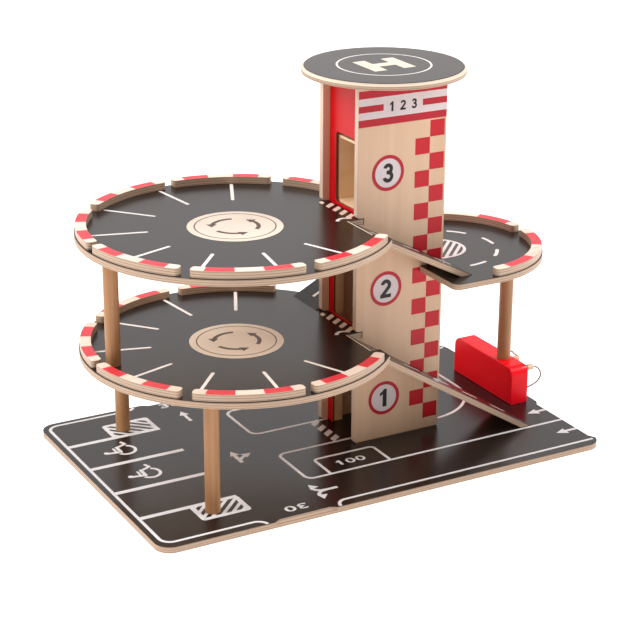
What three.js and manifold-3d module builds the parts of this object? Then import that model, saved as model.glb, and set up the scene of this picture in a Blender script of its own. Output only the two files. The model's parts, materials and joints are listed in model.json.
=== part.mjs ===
// A wooden toy parking garage: a base board, two round parking decks, a half-round side deck, three ramps,
// a square lift tower with a helicopter pad on top, and a small fuel pump with two nozzles.
// Millimetres, +Z up. The origin is the middle of the base board's underside; +X runs along its front.
import * as THREE from "three";
import { mergeVertices } from "three/addons/utils/BufferGeometryUtils.js";
import Module from "manifold-3d";

const wasm = await Module();
wasm.setup();

// Clearances
const fitGap = 0.3; // between a piece and the seat it is glued or pushed into
const slideGap = 0.5; // between the lift car and what it slides along
const overrun = 1; // how far a cutting shape runs past the surface it cuts
const arcError = 0.06; // largest distance between an arc and its straight steps
const weldDistance = 0.0001; // corners closer than this are one corner
const cordSides = 8; // flat sides of a thin cord's solid

// Boards
const baseThickness = 8;
const baseCorner = 20;
const deckThickness = 8;
const panelThickness = 8; // front and back of the tower
const wallThickness = 3; // red left and right walls of the tower
const carBoard = 3.5; // boards of the lift car
const boardCorner = 4; // rounding of a panel's free corners

// Round decks and side deck, seen from above
const deckRadius = 190;
const deckToTower = 140; // from the middle of the round decks to the tower's left edge
const sideDeckRadius = 128;
const sideDeckOffset = 28; // from the tower's right edge to the middle of the side deck
const sideDeckReach = 33; // how far the side deck runs to the left in front of the tower
const sideDeckCorner = 10;
const sideTipCorner = 9;

// Heights above the top of the base board
const firstLevel = 149; // top of the lower deck
const levelRise = 73; // from one deck to the next

// Tower
const towerLength = 124;
const shaftWidth = 77; // between the front and back panels
const wallInset = 9.5; // from the panels' edges in to the red walls
const slotDepth = 10; // slots in the panels' edges that hold the decks
const slotEndGap = 1.3;
const stripWidth = 12; // corner strips that join panels and walls and guide the car
const stripLength = 12;
const doorWidth = 45; // door at the upper deck
const lowDoorWidth = 52; // doors at the ground and at the lower deck
const doorHeight = 92; // from a deck's top to the top of its door
const doorCorner = 5;
const lowDoorCorner = 2;
const doorSill = 3.5; // from the upper deck's top to its door
const lowDoorSill = 2; // from the lower deck's top to its door
const carStep = 5.5; // from the upper deck's top up to the car's floor

// Helicopter pad
const padRadius = 100;
const padThickness = 8;
const padRim = 3.5; // bare slanted rim round the pad's top

// Ramps
const rampWidth = 59;
const rampThickness = 7.5;
const rampRun = 141.5; // along the base, for one level
const groundRampRun = 239.5; // along the base, from the lower deck to the ground
const notchInset = 12.5; // from the tower's edge to the deck edge where a ramp starts
const deckTip = 12; // how far a deck runs on beside its ramp's start

// Curbs
const curbInset = 1.2; // from the deck's rim to the curb
const curbWidth = 13.5;
const curbHeight = 9.3;
const curbGap = 14; // between the ends of two curbs
const curbCorner = 4.5;
const curbStep = 45; // degrees of the rim for each curb, gap included
// Degrees that each curb sits further round than its even place, from the deck's back to its front
const curbTurns = {
  lower: [0, 0, 2.2, 0.8, 0.6, -0.6],
  upper: [1.75, 0.8, 2.7, 1.25, 0.75, 0.75],
};
const towerCurbTurn = 1;

// Posts
const postRadius = 9;
const tenonRadius = 5;
const tenonLength = 5;
const deckPostInset = 26.4; // from the lower deck's rim to the middle of its posts
const deckPostAngle = 53.2; // degrees from the deck's left to its posts
const postToCurb = 5; // between the upper post and the curbs' inner side

// Fuel pump
const pumpLength = 137;
const pumpThickness = 27;
const pumpHeight = 51;
const pumpMargin = 11; // from the base's right edge to the pump
const pumpReach = 39; // from the base's middle line to the pump's front end
const pumpCorner = 12; // rounding of its upper ends
const pumpEdge = 1.5; // rounding of its long edges
const nozzleRadius = 4;
const nozzleLength = 10;
const nozzleHeight = 46;
const nozzleInset = 6; // from the pump's front end to the first nozzle
const nozzlePitch = 32;
const shankRadius = 2.5;
const shankLength = 7;
const hoseRadius = 1;
const hoseHeight = 17.5; // where a hose goes into the pump
const hoseReach = 25.4; // how far a loop of hose hangs out from the pump
const hoseSwing = 27; // how far the second hose's loop is swung to the back
const hoseArch = 2.2; // how far that loop rises over its nozzle's middle
const hoseSocket = 4; // depth of the hole that holds a hose's end

// Lift and winch
const cabinHeight = 78.3; // between the car's floor and its roof
const carEndGap = 1.5; // between the car and the red walls
const beadRadius = 5; // bead under the car's roof that holds the cord
const cordRadius = 1;
const winchClearance = 21.9; // between the car's roof at the upper deck and the drum
const crankHeadroom = 5.5; // between the turning crank and the helicopter pad
const axleRadius = 4;
const axleSeat = 4; // depth of the axle's seat in the front panel
const drumRadius = 8.7;
const flangeRadius = 15;
const flangeThickness = 3;
const drumLength = 24; // between the flanges
const crankGap = 1; // between the back panel and the crank
const crankThickness = 8;
const crankLength = 28; // from the axle to the knob
const crankHub = 9;
const crankEnd = 7.5;
const knobRadius = 6.5;
const knobLength = 24;
const knobNeck = 3;
const knobSeat = 5; // how deep the knob's peg sits in the crank

// Slanted way in and out at the edges of the base
const exitWidth = 5.5;
const exitDrop = 5;
const exitStart = 143; // from the base's left edge, front and back
const exitLength = 83;
const sideExitStart = 15; // from the base's front edge, on the right
const sideExitLength = 130;

// Wood screws under the base
const screwRadius = 1.7;
const screwHead = 3.5;
const screwHeadDepth = 2.2;
const screwLength = 26;
const screwSunk = 0.5; // from the base's underside up to the head
const screwInset = 22; // from a panel's end, or the pump's, to its screws

// Places, measured from the base's front left corner and its top
const middleY = deckRadius;
const deckX = deckRadius;
const towerLeft = deckX + deckToTower;
const towerRight = towerLeft + towerLength;
const towerX = (towerLeft + towerRight) / 2;
const shaftFront = middleY - shaftWidth / 2;
const shaftBack = middleY + shaftWidth / 2;
const towerFront = shaftFront - panelThickness;
const towerBack = shaftBack + panelThickness;
const sideX = towerRight + sideDeckOffset;
const baseLength = sideX + sideDeckRadius;
const baseWidth = 2 * deckRadius;
const sideLevel = firstLevel + levelRise;
const upperLevel = sideLevel + levelRise;
const leftWallX = towerLeft + wallInset;
const rightWallX = towerRight - wallInset;
const curbOuter = deckRadius - curbInset;
const curbInner = curbOuter - curbWidth;
const sideCurbOuter = sideDeckRadius - curbInset;
const sideCurbInner = sideCurbOuter - curbWidth;
const pumpX = baseLength - pumpMargin - pumpThickness;
const pumpY = middleY - pumpReach;
const deckPostRing = deckRadius - deckPostInset;
const carLeft = leftWallX + wallThickness + carEndGap;
const carRight = rightWallX - wallThickness - carEndGap;
const carFront = shaftFront + stripWidth + slideGap;
const carBack = shaftBack - stripWidth - slideGap;
const carFloor = upperLevel + carStep;
const carRoof = carFloor + cabinHeight;
const carX = (carLeft + carRight) / 2;
const axleX = carX - drumRadius - fitGap - cordRadius;
const axleHeight = carRoof + carBoard + winchClearance + flangeRadius;
const towerHeight = axleHeight + crankLength + crankEnd + crankHeadroom;


// Finishes
const finishes = {
  laminate: { color: 0x4a4645, roughness: 0.45, metalness: 0 },
  panelWood: { color: 0xcfab87, roughness: 0.55, metalness: 0 },
  beech: { color: 0xcf9c6a, roughness: 0.5, metalness: 0 },
  curbWood: { color: 0xe8cdb4, roughness: 0.55, metalness: 0 },
  redPaint: { color: 0xd8232b, roughness: 0.4, metalness: 0 },
  paleWood: { color: 0xdcb690, roughness: 0.6, metalness: 0 },
  cord: { color: 0x8d8d8c, roughness: 0.9, metalness: 0 },
  steel: { color: 0xb9b9bb, roughness: 0.35, metalness: 1 },
};

const radians = THREE.MathUtils.degToRad;

// Straight steps round an arc of this radius and sweep, in radians
function arcSteps(radius, sweep) {
  const step = 2 * Math.acos(1 - Math.min(arcError / radius, 0.5));
  return Math.max(2, Math.ceil(Math.abs(sweep) / step));
}

// Sides of a round bar of this radius
function roundSides(radius) {
  return 4 * Math.ceil(arcSteps(radius, 2 * Math.PI) / 4);
}

// Points of an arc; angles in degrees, counted from +X towards +Y
function arc(x, y, radius, from, to) {
  const start = radians(from);
  const sweep = radians(to) - start;
  const steps = arcSteps(radius, sweep);
  return Array.from({ length: steps + 1 }, (_, i) => {
    const angle = start + (sweep * i) / steps;
    return [x + radius * Math.cos(angle), y + radius * Math.sin(angle)];
  });
}

// An outline whose corners [x, y, radius] are rounded; a corner with no radius stays sharp
function rounded(corners) {
  return corners.flatMap(([x, y, radius = 0], i) => {
    if (radius === 0) return [[x, y]];
    const here = new THREE.Vector2(x, y);
    const [lastX, lastY] = corners.at(i - 1);
    const [nextX, nextY] = corners[(i + 1) % corners.length];
    const toLast = new THREE.Vector2(lastX, lastY).sub(here).normalize();
    const toNext = new THREE.Vector2(nextX, nextY).sub(here).normalize();
    const half = Math.acos(toLast.dot(toNext)) / 2;
    const middle = toLast.clone().add(toNext).normalize().multiplyScalar(radius / Math.sin(half)).add(here);
    const from = toLast.clone().multiplyScalar(radius / Math.tan(half)).add(here).sub(middle);
    const turn = Math.sign(toNext.cross(toLast)) * (Math.PI - 2 * half);
    const steps = arcSteps(radius, turn);
    return Array.from({ length: steps + 1 }, (_, k) => {
      const point = from.clone().rotateAround(new THREE.Vector2(), (turn * k) / steps).add(middle);
      return [point.x, point.y];
    });
  });
}

function rectangle(left, bottom, right, top, radius = 0) {
  return rounded([
    [left, bottom, radius],
    [right, bottom, radius],
    [right, top, radius],
    [left, top, radius],
  ]);
}

// A flat board with this outline, from z = 0 up
function board(outline, thickness, holes = []) {
  const shape = new THREE.Shape(outline.map(([x, y]) => new THREE.Vector2(x, y)));
  for (const hole of holes) shape.holes.push(new THREE.Path(hole.map(([x, y]) => new THREE.Vector2(x, y))));
  return new THREE.ExtrudeGeometry(shape, { depth: thickness, bevelEnabled: false });
}

// The same board with its outline in X and Z, its front at y = 0 and its back at y = thickness
function boardAlongY(outline, thickness, holes) {
  return board(outline, thickness, holes).rotateX(Math.PI / 2).translate(0, thickness, 0);
}

// The same board with its outline in Y and Z, from x = 0 to x = thickness
function boardAlongX(outline, thickness, holes) {
  return board(outline, thickness, holes).rotateX(Math.PI / 2).rotateZ(Math.PI / 2);
}

function box(x0, y0, z0, x1, y1, z1) {
  const solid = new THREE.BoxGeometry(x1 - x0, y1 - y0, z1 - z0);
  return solid.translate((x0 + x1) / 2, (y0 + y1) / 2, (z0 + z1) / 2);
}

// A turned piece; the profile lists radius and height from the axis to the axis, bottom first
function turned(profile) {
  const widest = Math.max(...profile.map(([radius]) => radius));
  const points = profile.map(([radius, height]) => new THREE.Vector2(radius, height));
  return new THREE.LatheGeometry(points, roundSides(widest)).rotateX(Math.PI / 2);
}

// A plain round bar that stands on z = 0
function bar(radius, length) {
  return turned([
    [0, 0],
    [radius, 0],
    [radius, length],
    [0, length],
  ]);
}

// Lays a standing shape along +Y or +X
function alongY(geometry) {
  return geometry.rotateX(-Math.PI / 2);
}
function alongX(geometry) {
  return geometry.rotateY(Math.PI / 2);
}

function solidOf(geometry) {
  const bare = geometry.clone();
  bare.deleteAttribute("normal");
  bare.deleteAttribute("uv");
  const merged = mergeVertices(bare, weldDistance);
  const vertProperties = merged.attributes.position.array;
  const triVerts = new Uint32Array(merged.index.array);
  return new wasm.Manifold(new wasm.Mesh({ numProp: 3, vertProperties, triVerts }));
}

function geometryOf(solid) {
  const mesh = solid.getMesh();
  const geometry = new THREE.BufferGeometry();
  geometry.setAttribute("position", new THREE.BufferAttribute(mesh.vertProperties, 3));
  geometry.setIndex(new THREE.BufferAttribute(mesh.triVerts, 1));
  geometry.computeVertexNormals();
  return geometry;
}

function cut(geometry, ...tools) {
  return geometryOf(tools.reduce((solid, tool) => solid.subtract(solidOf(tool)), solidOf(geometry)));
}

// Pieces are placed in this group from the base's front left corner and its top
const garage = new THREE.Group();
const part = new THREE.Group();
garage.position.set(-baseLength / 2, -baseWidth / 2, baseThickness);
part.add(garage);

function add(name, finish, geometry, x = 0, y = 0, z = 0) {
  const mesh = new THREE.Mesh(geometry, new THREE.MeshStandardMaterial(finishes[finish]));
  mesh.name = name;
  mesh.position.set(x, y, z);
  garage.add(mesh);
  return mesh;
}

// Where the screws under the base stand
const panelScrews = [towerLeft + screwInset, towerRight - screwInset];
const deckPostX = deckX - deckPostRing * Math.cos(radians(deckPostAngle));
const deckPostReach = deckPostRing * Math.sin(radians(deckPostAngle));
const deckPosts = {
  front_post: [deckPostX, middleY - deckPostReach],
  back_post: [deckPostX, middleY + deckPostReach],
};
const pumpMiddleX = pumpX + pumpThickness / 2;
const screwPlaces = [
  ...panelScrews.map((x) => [x, towerFront + panelThickness / 2]),
  ...panelScrews.map((x) => [x, towerBack - panelThickness / 2]),
  ...Object.values(deckPosts),
  [pumpMiddleX, pumpY + screwInset],
  [pumpMiddleX, pumpY + pumpLength - screwInset],
];

// A countersunk screw, pointing up from just inside the base's underside
const screwStart = screwSunk - baseThickness;
function screw() {
  return turned([
    [0, screwStart],
    [screwHead, screwStart],
    [screwRadius, screwStart + screwHeadDepth],
    [screwRadius, screwLength - baseThickness],
    [0, screwLength - baseThickness],
  ]);
}

// The hole of a screw, open at the base's underside
function screwHole(x, y) {
  const hole = turned([
    [0, -baseThickness - overrun],
    [screwHead + fitGap, -baseThickness - overrun],
    [screwHead + fitGap, screwStart],
    [screwRadius + fitGap, screwStart + screwHeadDepth + fitGap],
    [screwRadius + fitGap, screwLength - baseThickness + fitGap],
    [0, screwLength - baseThickness + fitGap],
  ]);
  return hole.translate(x, y, 0);
}

function screwHoles(isHere = () => true) {
  return screwPlaces.filter(isHere).map((place) => screwHole(...place));
}

// A slanted cut along an edge; outwards is +Y in its outline, and the edge runs along X from 0
function exitCut(length) {
  const slope = exitDrop / exitWidth;
  const outline = [
    [-exitWidth, 0],
    [overrun, -exitDrop - slope * overrun],
    [overrun, overrun],
    [-exitWidth, overrun],
  ];
  return boardAlongX(outline, length);
}

function addBase() {
  const outline = rectangle(0, 0, baseLength, baseWidth, baseCorner);
  const plate = board(outline, baseThickness).translate(0, 0, -baseThickness);
  const exits = [
    exitCut(exitLength).rotateZ(Math.PI).translate(exitStart + exitLength, 0, 0),
    exitCut(exitLength).translate(exitStart, baseWidth, 0),
    exitCut(sideExitLength).rotateZ(-Math.PI / 2).translate(baseLength, sideExitStart + sideExitLength, 0),
  ];
  add("base_board", "laminate", cut(plate, ...exits, ...screwHoles()));
  screwPlaces.forEach(([x, y], i) => add(`screw_${i + 1}`, "steel", screw(), x, y));
}

// Outline of the tower's front and back panels in X and Z, with the slots that hold the decks
function panelOutline() {
  const leftSlot = (level) => [
    [towerLeft, level + fitGap, boardCorner],
    [towerLeft + slotDepth, level + fitGap],
    [towerLeft + slotDepth, level - deckThickness - fitGap],
    [towerLeft, level - deckThickness - fitGap],
  ];
  return rounded([
    [towerLeft, 0, boardCorner],
    [towerRight, 0, boardCorner],
    [towerRight, sideLevel - deckThickness - fitGap],
    [towerRight - slotDepth, sideLevel - deckThickness - fitGap],
    [towerRight - slotDepth, sideLevel + fitGap],
    [towerRight, sideLevel + fitGap, boardCorner],
    [towerRight, towerHeight],
    [towerLeft, towerHeight],
    ...leftSlot(upperLevel),
    ...leftSlot(firstLevel),
  ]);
}

function addTower() {
  const panel = boardAlongY(panelOutline(), panelThickness);
  const axleHole = alongY(bar(axleRadius + fitGap, towerBack - shaftFront + axleSeat + overrun));
  axleHole.translate(axleX, shaftFront - axleSeat, axleHeight);
  const onPanel = (panelFront) => ([, y]) => y > panelFront && y < panelFront + panelThickness;
  const front = panel.clone().translate(0, towerFront, 0);
  const back = panel.clone().translate(0, shaftBack, 0);
  add("front_panel", "panelWood", cut(front, axleHole, ...screwHoles(onPanel(towerFront))));
  add("back_panel", "panelWood", cut(back, axleHole, ...screwHoles(onPanel(shaftBack))));

  const doorway = (width, low, high, corner) =>
    rectangle(middleY - width / 2, low, middleY + width / 2, high, corner);
  const groundFront = middleY - lowDoorWidth / 2;
  const groundBack = middleY + lowDoorWidth / 2;
  const left = shaftFront + fitGap;
  const right = shaftBack - fitGap;
  const top = towerHeight - fitGap;
  const openWall = rounded([
    [left, 0],
    [groundFront, 0],
    [groundFront, doorHeight, doorCorner],
    [groundBack, doorHeight, doorCorner],
    [groundBack, 0],
    [right, 0],
    [right, top],
    [left, top],
  ]);
  const doors = [
    doorway(lowDoorWidth, firstLevel + lowDoorSill, firstLevel + doorHeight, lowDoorCorner),
    doorway(doorWidth, upperLevel + doorSill, upperLevel + doorHeight, doorCorner),
  ];
  add("left_wall", "redPaint", boardAlongX(openWall, wallThickness, doors), leftWallX);
  const rightX = rightWallX - wallThickness;
  add("right_wall", "redPaint", boardAlongX(rectangle(left, 0, right, top), wallThickness), rightX);

  const stripLeft = leftWallX + wallThickness + fitGap;
  const stripRight = rightX - fitGap - stripLength;
  const stripFront = shaftFront + fitGap;
  const stripBack = shaftBack - stripWidth;
  const strip = board(rectangle(0, 0, stripLength, stripWidth - fitGap), top);
  add("front_left_strip", "paleWood", strip.clone(), stripLeft, stripFront);
  add("back_left_strip", "paleWood", strip.clone(), stripLeft, stripBack);
  add("front_right_strip", "paleWood", strip.clone(), stripRight, stripFront);
  add("back_right_strip", "paleWood", strip.clone(), stripRight, stripBack);

  const pad = turned([
    [0, 0],
    [padRadius, 0],
    [padRadius, padThickness - padRim],
    [padRadius - padRim, padThickness],
    [0, padThickness],
  ]).translate(towerX, middleY, towerHeight);
  add("helipad", "laminate", pad);
}

const rampFront = towerFront - fitGap - rampWidth;
const rampBack = towerBack + fitGap + rampWidth;
const notchX = towerLeft - notchInset;
const sideNotchX = towerRight + notchInset;

// The round decks: a disc, cut back beside the ramp, where the ramp starts and for the tower; what is left between
// the ramp and the tower's back is a tongue in the panels' slots
function roundDeck() {
  const disc = board(arc(deckX, middleY, deckRadius, 0, 360).slice(1), deckThickness);
  const right = deckX + deckRadius + overrun;
  const tongueX = towerLeft + slotDepth - slotEndGap;
  const clear = (left, front, back) => box(left, front, -overrun, right, back, deckThickness + overrun);
  return cut(
    disc,
    clear(notchX + deckTip, middleY - deckRadius - overrun, rampFront),
    clear(notchX, rampFront - fitGap, towerFront),
    clear(tongueX, towerFront - overrun, towerBack + fitGap),
  );
}

// The side deck: a half disc that runs on to the left, with its own notch for a ramp and its own tongue
function sideDeck() {
  const leftX = towerRight - sideDeckReach;
  const frontY = middleY - sideDeckRadius;
  const backY = middleY + sideDeckRadius;
  const outline = [
    ...arc(sideX, middleY, sideDeckRadius, -90, 90).slice(1, -1),
    ...rounded([
      [sideX, backY],
      [sideNotchX - deckTip, backY, sideTipCorner],
      [sideNotchX - deckTip, middleY],
      [leftX, middleY],
      [leftX, frontY, sideDeckCorner],
      [sideX, frontY],
    ]),
  ];
  const tongueX = towerRight - slotDepth + slotEndGap;
  const clear = (front, right, back) =>
    box(leftX - overrun, front, -overrun, right, back, deckThickness + overrun);
  return cut(
    board(outline, deckThickness),
    clear(towerFront - fitGap, tongueX, towerBack + overrun),
    clear(towerBack, sideNotchX, rampBack + fitGap),
  );
}

function tenonHole(x, y, z) {
  return bar(tenonRadius + fitGap, tenonLength + fitGap).translate(x, y, z);
}

const upperPost = [deckX - curbInner + postToCurb + postRadius, middleY];
const pumpPost = [pumpMiddleX, middleY];

function addDecks() {
  const disc = roundDeck();
  const lowerUnder = firstLevel - deckThickness;
  const lowerHoles = Object.values(deckPosts).map(([x, y]) => tenonHole(x, y, lowerUnder));
  const lowerTopHole = tenonHole(...upperPost, firstLevel - tenonLength - fitGap);
  const lower = disc.clone().translate(0, 0, lowerUnder);
  add("lower_deck", "laminate", cut(lower, ...lowerHoles, lowerTopHole));
  const upper = disc.clone().translate(0, 0, upperLevel - deckThickness);
  add("upper_deck", "laminate", cut(upper, tenonHole(...upperPost, upperLevel - deckThickness)));
  const side = sideDeck().translate(0, 0, sideLevel - deckThickness);
  add("side_deck", "laminate", cut(side, tenonHole(...pumpPost, sideLevel - deckThickness)));
}

// A curb's outline: a piece of a ring whose four corners are rounded
function curbOutline(x, y, outer, inner, from, to) {
  const corner = (radius, edge, angle, start) => {
    const inset = THREE.MathUtils.radToDeg(curbCorner / radius) * edge;
    const middle = radians(angle + inset);
    const centre = [x + radius * Math.cos(middle), y + radius * Math.sin(middle)];
    return arc(...centre, curbCorner, start + angle + inset, start + angle + inset + 90);
  };
  const outerEase = THREE.MathUtils.radToDeg(curbCorner / (outer - curbCorner));
  const innerEase = THREE.MathUtils.radToDeg(curbCorner / (inner + curbCorner));
  return [
    ...corner(outer - curbCorner, 1, from, -90),
    ...arc(x, y, outer, from + outerEase, to - outerEase).slice(1, -1),
    ...corner(outer - curbCorner, -1, to, 0),
    ...corner(inner + curbCorner, -1, to, 90),
    ...arc(x, y, inner, to - innerEase, from + innerEase).slice(1, -1),
    ...corner(inner + curbCorner, 1, from, 180),
  ];
}

function addCurbs() {
  const gapHalf = THREE.MathUtils.radToDeg(curbGap / 2 / (curbInner + curbWidth / 2));
  const sideGapHalf = THREE.MathUtils.radToDeg(curbGap / 2 / (sideCurbInner + curbWidth / 2));
  const places = ["back", "back_left", "left_back", "left_front", "front_left", "front_right"];
  const ring = (from, to) => board(curbOutline(deckX, middleY, curbOuter, curbInner, from, to), curbHeight);
  for (const [deck, level] of [["lower", firstLevel], ["upper", upperLevel]]) {
    places.forEach((place, i) => {
      const start = curbStep * (i + 1) + curbTurns[deck][i];
      const curb = ring(start + gapHalf, start + curbStep - gapHalf);
      add(`${deck}_curb_${place}`, "curbWood", curb, 0, 0, level);
    });
  }
  const towerEnd = THREE.MathUtils.radToDeg(Math.asin((towerBack + curbGap / 2 - middleY) / curbInner));
  const towerCurb = ring(towerEnd, curbStep + towerCurbTurn - gapHalf);
  add("upper_curb_tower", "curbWood", towerCurb, 0, 0, upperLevel);
  const sideRing = (from, to) =>
    board(curbOutline(sideX, middleY, sideCurbOuter, sideCurbInner, from, to), curbHeight);
  add("side_curb_front", "curbWood", sideRing(-90, -sideGapHalf), 0, 0, sideLevel);
  add("side_curb_back", "curbWood", sideRing(sideGapHalf, 90), 0, 0, sideLevel);
}

// A round post from z = 0 with a tenon on top, and one below if it stands on a deck or on the pump
function post(height, lowerTenon) {
  const foot = lowerTenon ? [[0, -tenonLength], [tenonRadius, -tenonLength], [tenonRadius, 0]] : [[0, 0]];
  return turned([
    ...foot,
    [postRadius, 0],
    [postRadius, height],
    [tenonRadius, height],
    [tenonRadius, height + tenonLength],
    [0, height + tenonLength],
  ]);
}

function addPosts() {
  const under = firstLevel - deckThickness;
  for (const [name, [x, y]] of Object.entries(deckPosts)) {
    const standing = post(under, false).translate(x, y, 0);
    add(name, "beech", cut(standing, screwHole(x, y)));
  }
  add("upper_post", "beech", post(upperLevel - deckThickness - firstLevel, true), ...upperPost, firstLevel);
  add("pump_post", "beech", post(sideLevel - deckThickness - pumpHeight, true), ...pumpPost, pumpHeight);
}

// A ramp's side view in X and Z: upright where it starts, feathered where it lies on the surface below
function rampOutline(rise, run) {
  const slope = Math.atan2(rise, run);
  return [
    [0, rise],
    [0, rise - rampThickness / Math.cos(slope)],
    [run - rampThickness / Math.sin(slope), 0],
    [run, 0],
  ];
}

function addRamps() {
  const short = boardAlongY(rampOutline(levelRise, rampRun), rampWidth);
  const long = boardAlongY(rampOutline(firstLevel, groundRampRun), rampWidth);
  add("upper_ramp", "laminate", short.clone(), notchX + fitGap, rampFront, sideLevel);
  add("lower_ramp", "laminate", long, notchX + fitGap, rampFront, 0);
  const back = add("back_ramp", "laminate", short.clone(), sideNotchX - fitGap, rampBack, firstLevel);
  back.rotation.z = Math.PI;
}

const nozzles = [0, 1].map((i) => pumpY + nozzleInset + i * nozzlePitch);
const pumpFace = pumpX + pumpThickness;

// The hoses, each from its hole in the pump to its nozzle's end, as [out, sideways, height] from the pump's face:
// the first loop hangs straight out over the base's edge, the second is swung to the back along the pump
const hoseIn = [
  [fitGap - hoseSocket, 0, hoseHeight],
  [2 * hoseRadius, 0, hoseHeight],
];
const hoseEnd = nozzleLength - hoseSocket / 2;
const hoseRise = nozzleHeight - hoseHeight;
const besideNozzle = nozzleLength + 3 * hoseRadius;
const hoseRoutes = [
  [
    ...hoseIn,
    [8, 0, hoseHeight + hoseRadius],
    [hoseReach - 6, 0, hoseHeight + 0.2 * hoseRise],
    [hoseReach - hoseRadius, 0, hoseHeight + 0.5 * hoseRise],
    [hoseReach - 6, 0, nozzleHeight - 4 * hoseRadius],
    [besideNozzle, 0, nozzleHeight - hoseRadius],
    [nozzleLength, 0, nozzleHeight],
    [hoseEnd, 0, nozzleHeight],
  ],
  [
    ...hoseIn,
    [8, 7, hoseHeight + hoseRadius],
    [11, hoseSwing - 10, hoseHeight + 0.26 * hoseRise],
    [12, hoseSwing - 2, hoseHeight + 0.6 * hoseRise],
    [12, hoseSwing, nozzleHeight - 2 * hoseRadius],
    [besideNozzle, hoseSwing - 5, nozzleHeight + hoseArch],
    [besideNozzle + 0.5, hoseSwing / 2, nozzleHeight + hoseArch / 4],
    [besideNozzle, 3, nozzleHeight],
    [nozzleLength, 0, nozzleHeight],
    [hoseEnd, 0, nozzleHeight],
  ],
];

function hoseCurve(route) {
  const knots = route.map((knot) => new THREE.Vector3(...knot));
  return new THREE.CatmullRomCurve3(knots, false, "centripetal");
}

function addPump() {
  const outline = rounded([
    [pumpY + pumpEdge, pumpEdge],
    [pumpY + pumpLength - pumpEdge, pumpEdge],
    [pumpY + pumpLength - pumpEdge, pumpHeight - pumpEdge, pumpCorner - pumpEdge],
    [pumpY + pumpEdge, pumpHeight - pumpEdge, pumpCorner - pumpEdge],
  ]);
  const shape = new THREE.Shape(outline.map(([y, z]) => new THREE.Vector2(y, z)));
  const soft = new THREE.ExtrudeGeometry(shape, {
    depth: pumpThickness - 2 * pumpEdge,
    bevelThickness: pumpEdge,
    bevelSize: pumpEdge,
    bevelSegments: 2,
  });
  const block = soft.rotateX(Math.PI / 2).rotateZ(Math.PI / 2).translate(pumpX + pumpEdge, 0, 0);
  const holeIn = (radius, depth, y, z) =>
    alongX(bar(radius + fitGap, depth + overrun)).translate(pumpFace - depth, y, z);
  const shankHoles = nozzles.map((y) => holeIn(shankRadius, shankLength + fitGap, y, nozzleHeight));
  const hoseHoles = nozzles.map((y) => holeIn(hoseRadius, hoseSocket, y, hoseHeight));
  const postHole = tenonHole(...pumpPost, pumpHeight - tenonLength - fitGap);
  const under = screwHoles(([x]) => x === pumpMiddleX);
  add("pump_block", "redPaint", cut(block, ...shankHoles, ...hoseHoles, postHole, ...under));

  nozzles.forEach((y, i) => {
    const ease = nozzleRadius / 4;
    const bead = turned([
      [0, -shankLength],
      [shankRadius, -shankLength],
      [shankRadius, fitGap],
      [nozzleRadius - ease, fitGap],
      [nozzleRadius, fitGap + ease],
      [nozzleRadius, nozzleLength - ease],
      [nozzleRadius - ease, nozzleLength],
      [0, nozzleLength],
    ]);
    const socketStart = nozzleLength - hoseSocket / 2 - fitGap;
    const socket = bar(hoseRadius + fitGap, hoseSocket).translate(0, 0, socketStart);
    add(`nozzle_${i + 1}`, "beech", cut(alongX(bead), alongX(socket)), pumpFace, y, nozzleHeight);
    const curve = hoseCurve(hoseRoutes[i]);
    const steps = Math.ceil(curve.getLength() / (5 * hoseRadius)) * 2;
    const section = new THREE.Shape(
      Array.from({ length: cordSides }, (_, k) => {
        const angle = (2 * Math.PI * k) / cordSides;
        return new THREE.Vector2(hoseRadius * Math.cos(angle), hoseRadius * Math.sin(angle));
      }),
    );
    const tube = new THREE.ExtrudeGeometry(section, { steps, extrudePath: curve, bevelEnabled: false });
    add(`hose_${i + 1}`, "cord", tube, pumpFace, y, 0);
  });
}

function addLift() {
  const under = carFloor - carBoard;
  const roofTop = carRoof + carBoard;
  const innerFront = carFront + carBoard;
  const innerBack = carBack - carBoard;
  const innerEnd = carRight - carBoard;
  add("lift_floor", "paleWood", box(carLeft, carFront, under, carRight, carBack, carFloor));
  const roof = box(carLeft, carFront, carRoof, carRight, carBack, roofTop);
  const cordHole = bar(cordRadius + fitGap, carBoard + 2 * overrun);
  cordHole.translate(carX, middleY, carRoof - overrun);
  add("lift_roof", "paleWood", cut(roof, cordHole));
  add("lift_front_side", "paleWood", box(carLeft, carFront, carFloor, innerEnd, innerFront, carRoof));
  add("lift_back_side", "paleWood", box(carLeft, innerBack, carFloor, innerEnd, carBack, carRoof));
  add("lift_end", "paleWood", box(innerEnd, carFront, carFloor, carRight, carBack, carRoof));

  const bead = new THREE.SphereGeometry(beadRadius, 12, 8).rotateX(Math.PI / 2);
  const beadZ = carRoof - beadRadius;
  const beadHole = bar(cordRadius + fitGap, beadRadius + overrun);
  add("lift_bead", "beech", cut(bead, beadHole), carX, middleY, beadZ);
  const cordLength = axleHeight - beadZ - fitGap;
  const cord = new THREE.CylinderGeometry(cordRadius, cordRadius, cordLength, cordSides);
  add("lift_cord", "cord", cord.rotateX(Math.PI / 2), carX, middleY, beadZ + fitGap + cordLength / 2);
}

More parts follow.
